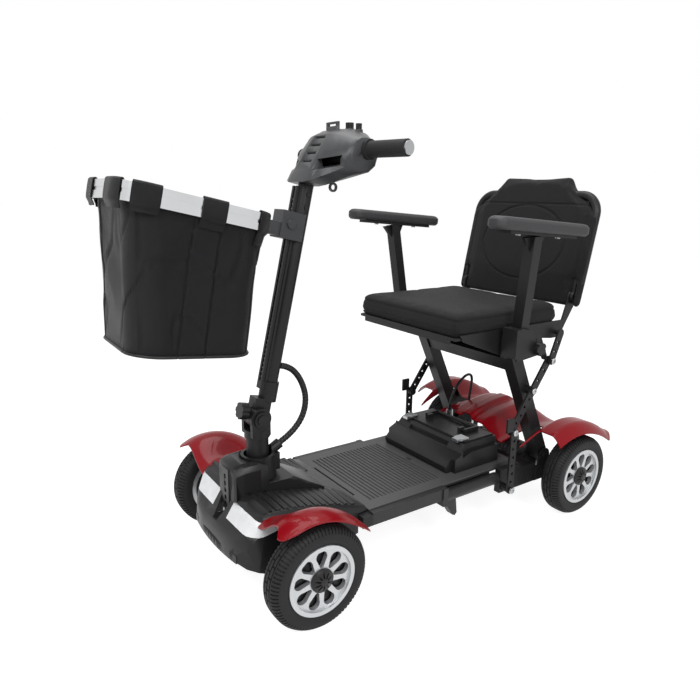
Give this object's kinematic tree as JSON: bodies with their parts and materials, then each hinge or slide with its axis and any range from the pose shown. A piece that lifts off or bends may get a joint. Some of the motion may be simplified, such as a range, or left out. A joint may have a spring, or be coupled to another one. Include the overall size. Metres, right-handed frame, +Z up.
{
  "type": "folding mobility scooter",
  "caption": "Folding electric mobility scooter on small wheels, with a tiller, front basket, footboard, battery and a link-folded seat with armrests.",
  "frame": {"origin": "on the ground, under the middle of the bounding box", "axes": "+Z up, -Y is the front of the scooter, +X is the side on the left hand of the rider"},
  "size_m": [0.52, 1.142, 0.903],
  "materials": {
    "frame_black": "black powder coat",
    "steel_black": "satin black paint",
    "deck_grey": "ribbed dark grey",
    "cover_black": "satin black moulding",
    "cover_red": "high gloss red",
    "lens_white": "silvered lens",
    "drive_grey": "cast housing",
    "battery_black": "fine grain",
    "latch_silver": "bright",
    "tyre": "block tread",
    "rim_silver": "silver paint",
    "cap_black": "ribbed",
    "head_grey": "satin grey",
    "bar_silver": "satin",
    "foam_black": "foam",
    "rim_aluminium": "satin anodised",
    "bag_cloth": "woven nylon",
    "seat_cloth": "black mesh",
    "pad_black": "soft skin",
    "cord_black": "wrapped",
    "knob_black": "grained"
  },
  "bodies": {
    "chassis": {"front_frame": "frame_black", "side_rails": "frame_black", "rear_frame": "frame_black", "footboard": "deck_grey", "nose_cover": "cover_black", "headlights": "lens_white", "column_shroud": "cover_black", "front_fender_left": "cover_red", "front_fender_right": "cover_red", "rear_cover": "cover_red", "drive_unit": "drive_grey", "controller_box": "cover_black", "power_cable": "cord_black"},
    "battery": {"battery_case": "battery_black", "battery_latches": "latch_silver"},
    "battery_bail": {"battery_handle": "battery_black"},
    "steering": {"steering_stem": "frame_black", "cable_hose": "cord_black"},
    "left_knuckle": {"knuckle_left": "steel_black"},
    "right_knuckle": {"knuckle_right": "steel_black"},
    "tie_rod_body": {"tie_rod": "steel_black"},
    "front_left_wheel": {"front_left_tyre": "tyre", "front_left_rim": "rim_silver", "front_left_cap": "cap_black"},
    "front_right_wheel": {"front_right_tyre": "tyre", "front_right_rim": "rim_silver", "front_right_cap": "cap_black"},
    "rear_left_wheel": {"rear_left_tyre": "tyre", "rear_left_rim": "rim_silver", "rear_left_cap": "cap_black"},
    "rear_right_wheel": {"rear_right_tyre": "tyre", "rear_right_rim": "rim_silver", "rear_right_cap": "cap_black"},
    "tiller": {"mast_foot": "frame_black", "mast_tube": "frame_black", "mast_rail": "frame_black", "head_shell": "head_grey", "handlebar": "bar_silver", "grips": "foam_black", "basket_bracket": "head_grey", "basket_rim": "rim_aluminium", "basket_bag": "bag_cloth"},
    "clamp_knob": {"hinge_knob": "knob_black"},
    "drive_lever": {"throttle_lever": "knob_black"},
    "speed_dial": {"speed_knob": "knob_black"},
    "key": {"key_knob": "knob_black"},
    "legs": {"seat_legs": "frame_black", "leg_crossbar": "frame_black"},
    "brace_pair": {"braces": "steel_black"},
    "lower_pair": {"lower_links": "steel_black"},
    "upper_pair": {"upper_links": "steel_black"},
    "seat": {"seat_pan": "frame_black", "side_plates": "frame_black", "seat_cushion": "seat_cloth"},
    "backrest": {"backrest_frame": "frame_black", "backrest_cover": "seat_cloth"},
    "left_arm": {"arm_post_left": "frame_black", "arm_pad_left": "pad_black"},
    "right_arm": {"arm_post_right": "frame_black", "arm_pad_right": "pad_black"}
  },
  "joints": [
    {"name": "steer", "type": "hinge", "parent": "chassis", "child": "steering", "pos_m": [0, -0.30098, 0.152], "axis": [0, 0, 1], "range_deg": [-25, 25]},
    {"name": "left_kingpin", "type": "hinge", "parent": "chassis", "child": "left_knuckle", "pos_m": [0.185, -0.30098, 0.1], "axis": [0, 0, 1], "range_deg": [-25, 25]},
    {"name": "right_kingpin", "type": "hinge", "parent": "chassis", "child": "right_knuckle", "pos_m": [-0.185, -0.30098, 0.1], "axis": [0, 0, 1], "range_deg": [-25, 25]},
    {"name": "tie_rod_pivot", "type": "hinge", "parent": "left_knuckle", "child": "tie_rod_body", "pos_m": [0.185, -0.25598, 0.066], "axis": [0, 0, 1], "range_deg": [-25, 25]},
    {"name": "front_left_spin", "type": "hinge", "parent": "left_knuckle", "child": "front_left_wheel", "pos_m": [0.226, -0.30098, 0.1], "axis": [1, 0, 0], "continuous": true},
    {"name": "front_right_spin", "type": "hinge", "parent": "right_knuckle", "child": "front_right_wheel", "pos_m": [-0.226, -0.30098, 0.1], "axis": [1, 0, 0], "continuous": true},
    {"name": "rear_left_spin", "type": "hinge", "parent": "chassis", "child": "rear_left_wheel", "pos_m": [0.216, 0.45702, 0.1], "axis": [1, 0, 0], "continuous": true},
    {"name": "rear_right_spin", "type": "hinge", "parent": "chassis", "child": "rear_right_wheel", "pos_m": [-0.216, 0.45702, 0.1], "axis": [1, 0, 0], "continuous": true},
    {"name": "seat_fold", "type": "hinge", "parent": "chassis", "child": "legs", "pos_m": [0, 0.40002, 0.145], "axis": [1, 0, 0], "range_deg": [0, 52]},
    {"name": "lower_links_turn", "type": "hinge", "parent": "chassis", "child": "lower_pair", "pos_m": [0, 0.25802, 0.097], "axis": [1, 0, 0], "range_deg": [0, 75.99]},
    {"name": "braces_turn", "type": "hinge", "parent": "legs", "child": "brace_pair", "pos_m": [0, 0.32002, 0.328], "axis": [1, 0, 0], "range_deg": [-71.01, 0]},
    {"name": "upper_links_turn", "type": "hinge", "parent": "brace_pair", "child": "upper_pair", "pos_m": [0, 0.36802, 0.396], "axis": [1, 0, 0], "range_deg": [0, 143.75]},
    {"name": "seat_level", "type": "hinge", "parent": "legs", "child": "seat", "pos_m": [0, 0.25602, 0.45], "axis": [1, 0, 0], "range_deg": [-52, 0]},
    {"name": "backrest_fold", "type": "hinge", "parent": "seat", "child": "backrest", "pos_m": [0, 0.44602, 0.537], "axis": [1, 0, 0], "range_deg": [0, 95]},
    {"name": "tiller_fold", "type": "hinge", "parent": "steering", "child": "tiller", "pos_m": [0, -0.30298, 0.334], "axis": [1, 0, 0], "range_deg": [-48, 0], "deforming": ["cable_hose"]},
    {"name": "left_arm_flip", "type": "hinge", "parent": "seat", "child": "left_arm", "pos_m": [0.203, 0.23002, 0.455], "axis": [1, 0, 0], "range_deg": [-85, 0]},
    {"name": "right_arm_flip", "type": "hinge", "parent": "seat", "child": "right_arm", "pos_m": [-0.203, 0.23002, 0.455], "axis": [1, 0, 0], "range_deg": [-85, 0]},
    {"name": "battery_lift", "type": "slide", "parent": "chassis", "child": "battery", "axis": [0, 0, -1], "range_m": [-0.09, 0]},
    {"name": "bail_turn", "type": "hinge", "parent": "battery", "child": "battery_bail", "pos_m": [0, 0.21902, 0.2135], "axis": [-1, 0, 0], "range_deg": [-90, 0]},
    {"name": "clamp_knob_turn", "type": "hinge", "parent": "tiller", "child": "clamp_knob", "pos_m": [0, -0.32266, 0.34865], "axis": [0, -0.9759, 0.2181], "continuous": true},
    {"name": "drive_lever_rock", "type": "hinge", "parent": "tiller", "child": "drive_lever", "pos_m": [0, -0.15398, 0.8285], "axis": [0, -0.2419, 0.9703], "range_deg": [-8, 8], "stiffness_Nm_per_rad": 0.8},
    {"name": "speed_dial_turn", "type": "hinge", "parent": "tiller", "child": "speed_dial", "pos_m": [0.02, -0.09698, 0.8905], "axis": [0, 0, 1], "range_deg": [-135, 135]},
    {"name": "key_turn", "type": "hinge", "parent": "tiller", "child": "key", "pos_m": [0.038, -0.08798, 0.8885], "axis": [0, 0, 1], "range_deg": [0, 90]}
  ],
  "couplings": [
    {"joint": "left_kingpin", "follows": "steer", "ratio": 1},
    {"joint": "right_kingpin", "follows": "steer", "ratio": 1},
    {"joint": "tie_rod_pivot", "follows": "steer", "ratio": -1},
    {"joint": "lower_links_turn", "follows": "seat_fold", "ratio": 1.4613},
    {"joint": "braces_turn", "follows": "seat_fold", "ratio": -1.3656},
    {"joint": "upper_links_turn", "follows": "seat_fold", "ratio": 2.7645},
    {"joint": "seat_level", "follows": "seat_fold", "ratio": -1},
    {"joint": "backrest_fold", "follows": "seat_fold", "ratio": 1.8269},
    {"joint": "tiller_fold", "follows": "seat_fold", "ratio": -0.92308}
  ]
}
